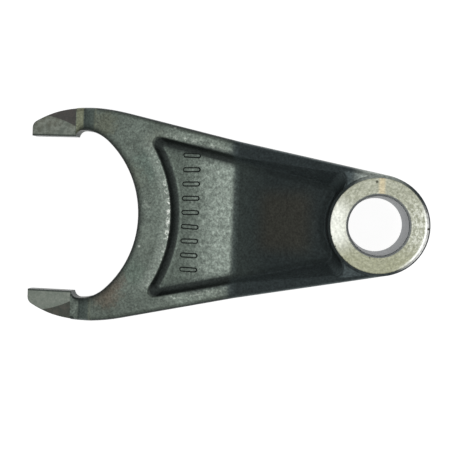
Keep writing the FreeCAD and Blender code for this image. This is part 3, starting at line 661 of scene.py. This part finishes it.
# %% The row
MAX_TURN = 0.04    # radians, about two degrees
pitch = add(marks_tree, "ShaderNodeCombineXYZ", {1: given["Pitch"]})
line = add(marks_tree, "GeometryNodeMeshLine", {"Count": given["Count"], "Offset": pitch})
turn = add(marks_tree, "FunctionNodeRandomValue",
           {0: (0, 0, -MAX_TURN), 1: (0, 0, MAX_TURN), "Seed": given["Seed"]},
           data_type="FLOAT_VECTOR")
row = add(marks_tree, "GeometryNodeInstanceOnPoints",
          {"Points": line, "Instance": bar, "Rotation": turn})
row = add(marks_tree, "GeometryNodeRealizeInstances", {"Geometry": row})
row = add(marks_tree, "GeometryNodeSetMaterial", {"Geometry": row, "Material": given["Skin"]})
add(marks_tree, "NodeGroupOutput", {"Marks": row})
print("tree of the marks:", len(marks_tree.nodes), "nodes")

# %% [markdown]
# A modifier on an empty mesh runs the tree. Its inputs are set by their identifiers
# before it is first evaluated, and the result is copied out as a plain mesh, which any
# program can read. The modifier has then done its work and goes.

# %% The marks as a plain mesh
carrier = bpy.data.objects.new("marks_carrier", bpy.data.meshes.new("marks_carrier"))
bpy.context.scene.collection.objects.link(carrier)
modifier = carrier.modifiers.new("marks", "NODES")
modifier.node_group = marks_tree
for item in marks_tree.interface.items_tree:
    if item.in_out == "INPUT":
        modifier[item.identifier] = MARK_INPUTS[item.name][1]
evaluated = carrier.evaluated_get(bpy.context.evaluated_depsgraph_get())
marks_mesh = bpy.data.meshes.new_from_object(evaluated)
carrier.modifiers.remove(modifier)
bpy.data.objects.remove(carrier)
print("marks:", len(marks_mesh.vertices), "vertices,", len(marks_mesh.materials), "material")

# %% [markdown]
# The row is moved to the middle of its place inside its mesh, so that its object can
# stay at the origin. It is sunk by a tenth of a millimetre, so that no gap shows.

# %% The marks in place
ROW_MIDDLE = Vector((-85.0, 2.6, pocket_floor)) * MM
MARK_SINK = 0.1 * MM
heights = [vertex.co.z for vertex in marks_mesh.vertices]
widths = [vertex.co.y for vertex in marks_mesh.vertices]
shift = Vector((0, -(min(widths) + max(widths)) / 2, -min(heights) - MARK_SINK)) + ROW_MIDDLE
marks_mesh.transform(Matrix.Translation(shift))
marks = bpy.data.objects.new("tally_marks", marks_mesh)
bpy.context.scene.collection.objects.link(marks)
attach(marks, "root")
print("the row is", round((max(widths) - min(widths)) / MM, 1), "mm long")

# %% [markdown]
# ## Floor
# The fork can't lie level: its boss is thicker than its prongs, so it leans until the
# prongs touch. The floor is the plane under the boss's lower edge and the prongs. It is
# found by turning a plane, halving the doubt each time, until both ends of the fork are
# equally high above it.

# %% Lean of the fork
FLOOR_GAP = 0.1 * MM
MAX_LEAN = math.radians(20)
HALVINGS = 40
corners = [vertex.co.copy() for vertex in fork.data.vertices]
boss_points = [p for p in corners if p.x > -30 * MM]
prong_points = [p for p in corners if p.x < -100 * MM]


def floor_up(lean):
    return Vector((math.sin(lean), 0, math.cos(lean)))


def lowest(points, up):
    return min(p.dot(up) for p in points)


low_lean, high_lean = 0.0, MAX_LEAN
for _ in range(HALVINGS):
    lean = (low_lean + high_lean) / 2
    if lowest(prong_points, floor_up(lean)) > lowest(boss_points, floor_up(lean)):
        low_lean = lean
    else:
        high_lean = lean
up = floor_up(lean)
floor_height = lowest(boss_points, up) - FLOOR_GAP
print("the fork leans", round(math.degrees(lean), 2), "degrees")

# %% [markdown]
# The floor is one large square on that plane, with its face turned up. It belongs to the
# stage and not to the part.

# %% Floor
FLOOR_SIDE = 8.0    # metres
middle = (cad_low + cad_high) / 2
floor_mesh = bpy.data.meshes.new("floor")
side_a = up.cross(Vector((0, 1, 0))).normalized()
side_b = up.cross(side_a)
centre = middle + up * (floor_height - middle.dot(up))
floor_corners = [centre + (side_a * a + side_b * b) * FLOOR_SIDE / 2
                 for a, b in ((-1, -1), (1, -1), (1, 1), (-1, 1))]
floor_mesh.from_pydata([tuple(c) for c in floor_corners], [], [(0, 1, 2, 3)])
if floor_mesh.polygons[0].normal.dot(up) < 0:
    floor_mesh.flip_normals()
floor = bpy.data.objects.new("floor", floor_mesh)
bpy.context.scene.collection.objects.link(floor)
print("floor:", FLOOR_SIDE, "m wide")

# %% [markdown]
# The floor is matt white paper, which gives the eye a clean ground and no highlight of
# its own. A lamp bright enough to turn it white would bleach the fork, so the paper is a
# mid grey that keeps the shadow, and it glows only for rays from the camera and for
# mirrored and passing rays. Light Path tells these apart, and the steel mirrors the same
# white that the camera sees. From below the paper is clear, so the underside shows.

# %% White paper
PAPER_GREY = "#8A8A8A"
PAPER_GLOW = 0.92
floor_paper, tree = new_material("white_paper")
ray = add(tree, "ShaderNodeLightPath")
seen = add(tree, "ShaderNodeMath",
           {0: ray.outputs["Is Camera Ray"], 1: ray.outputs["Is Glossy Ray"]},
           operation="MAXIMUM")
seen = add(tree, "ShaderNodeMath", {0: seen, 1: ray.outputs["Is Transmission Ray"]},
           operation="MAXIMUM")
paper = add(tree, "ShaderNodeBsdfDiffuse", {"Color": colour(PAPER_GREY)})
glow = add(tree, "ShaderNodeEmission", {"Color": (1, 1, 1, 1), "Strength": PAPER_GLOW})
bright = add(tree, "ShaderNodeAddShader", {0: paper, 1: glow})
front = add(tree, "ShaderNodeMixShader", {0: seen, 1: paper, 2: bright})
side = add(tree, "ShaderNodeNewGeometry")
clear = add(tree, "ShaderNodeBsdfTransparent")
both = add(tree, "ShaderNodeMixShader", {0: side.outputs["Backfacing"], 1: front, 2: clear})
add(tree, "ShaderNodeOutputMaterial", {"Surface": both})
floor_mesh.materials.append(floor_paper)
print("white paper:", len(tree.nodes), "nodes")

# %% [markdown]
# ## Light
# One round soft lamp hangs high above the table, close to the camera's line of sight, so
# flat faces mirror it and tilted ones turn dark, as on the real steel. Its power is its
# radiance times pi times its area.

# %% Lamp
LAMP_DISTANCE = 2.5
LAMP_RADIUS = 0.76
LAMP_RADIANCE = 2.1
LAMP_TILT = math.radians(-5)
LAMP_TARGET = Vector((-70 * MM, 0, 0))
lamp_data = bpy.data.lights.new("softbox", "AREA")
lamp_data.shape = "DISK"
lamp_data.size = 2 * LAMP_RADIUS
lamp_data.energy = LAMP_RADIANCE * math.pi * math.pi * LAMP_RADIUS ** 2
lamp = bpy.data.objects.new("softbox", lamp_data)
bpy.context.scene.collection.objects.link(lamp)
lamp_way = Vector((-math.sin(LAMP_TILT), 0, math.cos(LAMP_TILT)))
lamp.location = LAMP_TARGET + lamp_way * LAMP_DISTANCE
lamp.rotation_euler = (lamp.location - LAMP_TARGET).to_track_quat("Z", "Y").to_euler()
print("lamp", round(lamp_data.energy, 2), "W")

# %% [markdown]
# The room around the table is a plain grey, which fills the shadows from all sides. The
# Standard view shows each colour about as it is written.

# %% Room and view
ROOM_LEVEL = 0.6
room = bpy.data.worlds.new("room")
bpy.context.scene.world = room
room.use_nodes = True
room.node_tree.nodes.clear()
air = add(room.node_tree, "ShaderNodeBackground",
          {"Color": (1, 1, 1, 1), "Strength": ROOM_LEVEL})
add(room.node_tree, "ShaderNodeOutputWorld", {"Surface": air})
bpy.context.scene.view_settings.view_transform = "Standard"
print("room at", ROOM_LEVEL)
